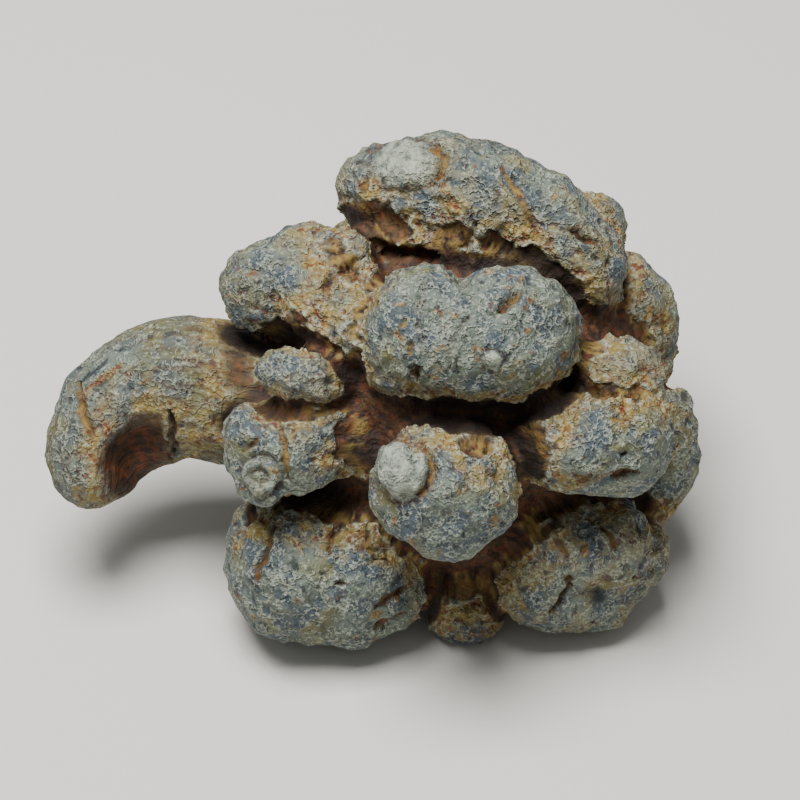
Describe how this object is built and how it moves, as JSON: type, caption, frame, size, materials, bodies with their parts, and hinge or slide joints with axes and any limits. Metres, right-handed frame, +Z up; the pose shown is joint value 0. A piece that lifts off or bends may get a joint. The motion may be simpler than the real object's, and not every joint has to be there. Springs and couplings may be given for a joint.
{
  "type": "notoginseng root",
  "caption": "Dried knobbly notoginseng main root with blunt lobes all round and a thick side root curled down like a claw.",
  "frame": {"origin": "on the ground, under the middle of the whole root's box", "axes": "+Z up as the root lies, -Y towards the lobed front face, -X towards the side root"},
  "size_m": [0.0542, 0.0426, 0.0361],
  "materials": {
    "dried_root_skin": "matte, dry, grey-green cork over brown-ochre flesh in the cracks"
  },
  "bodies": {
    "root": {"notoginseng_root": "dried_root_skin"}
  },
  "joints": []
}
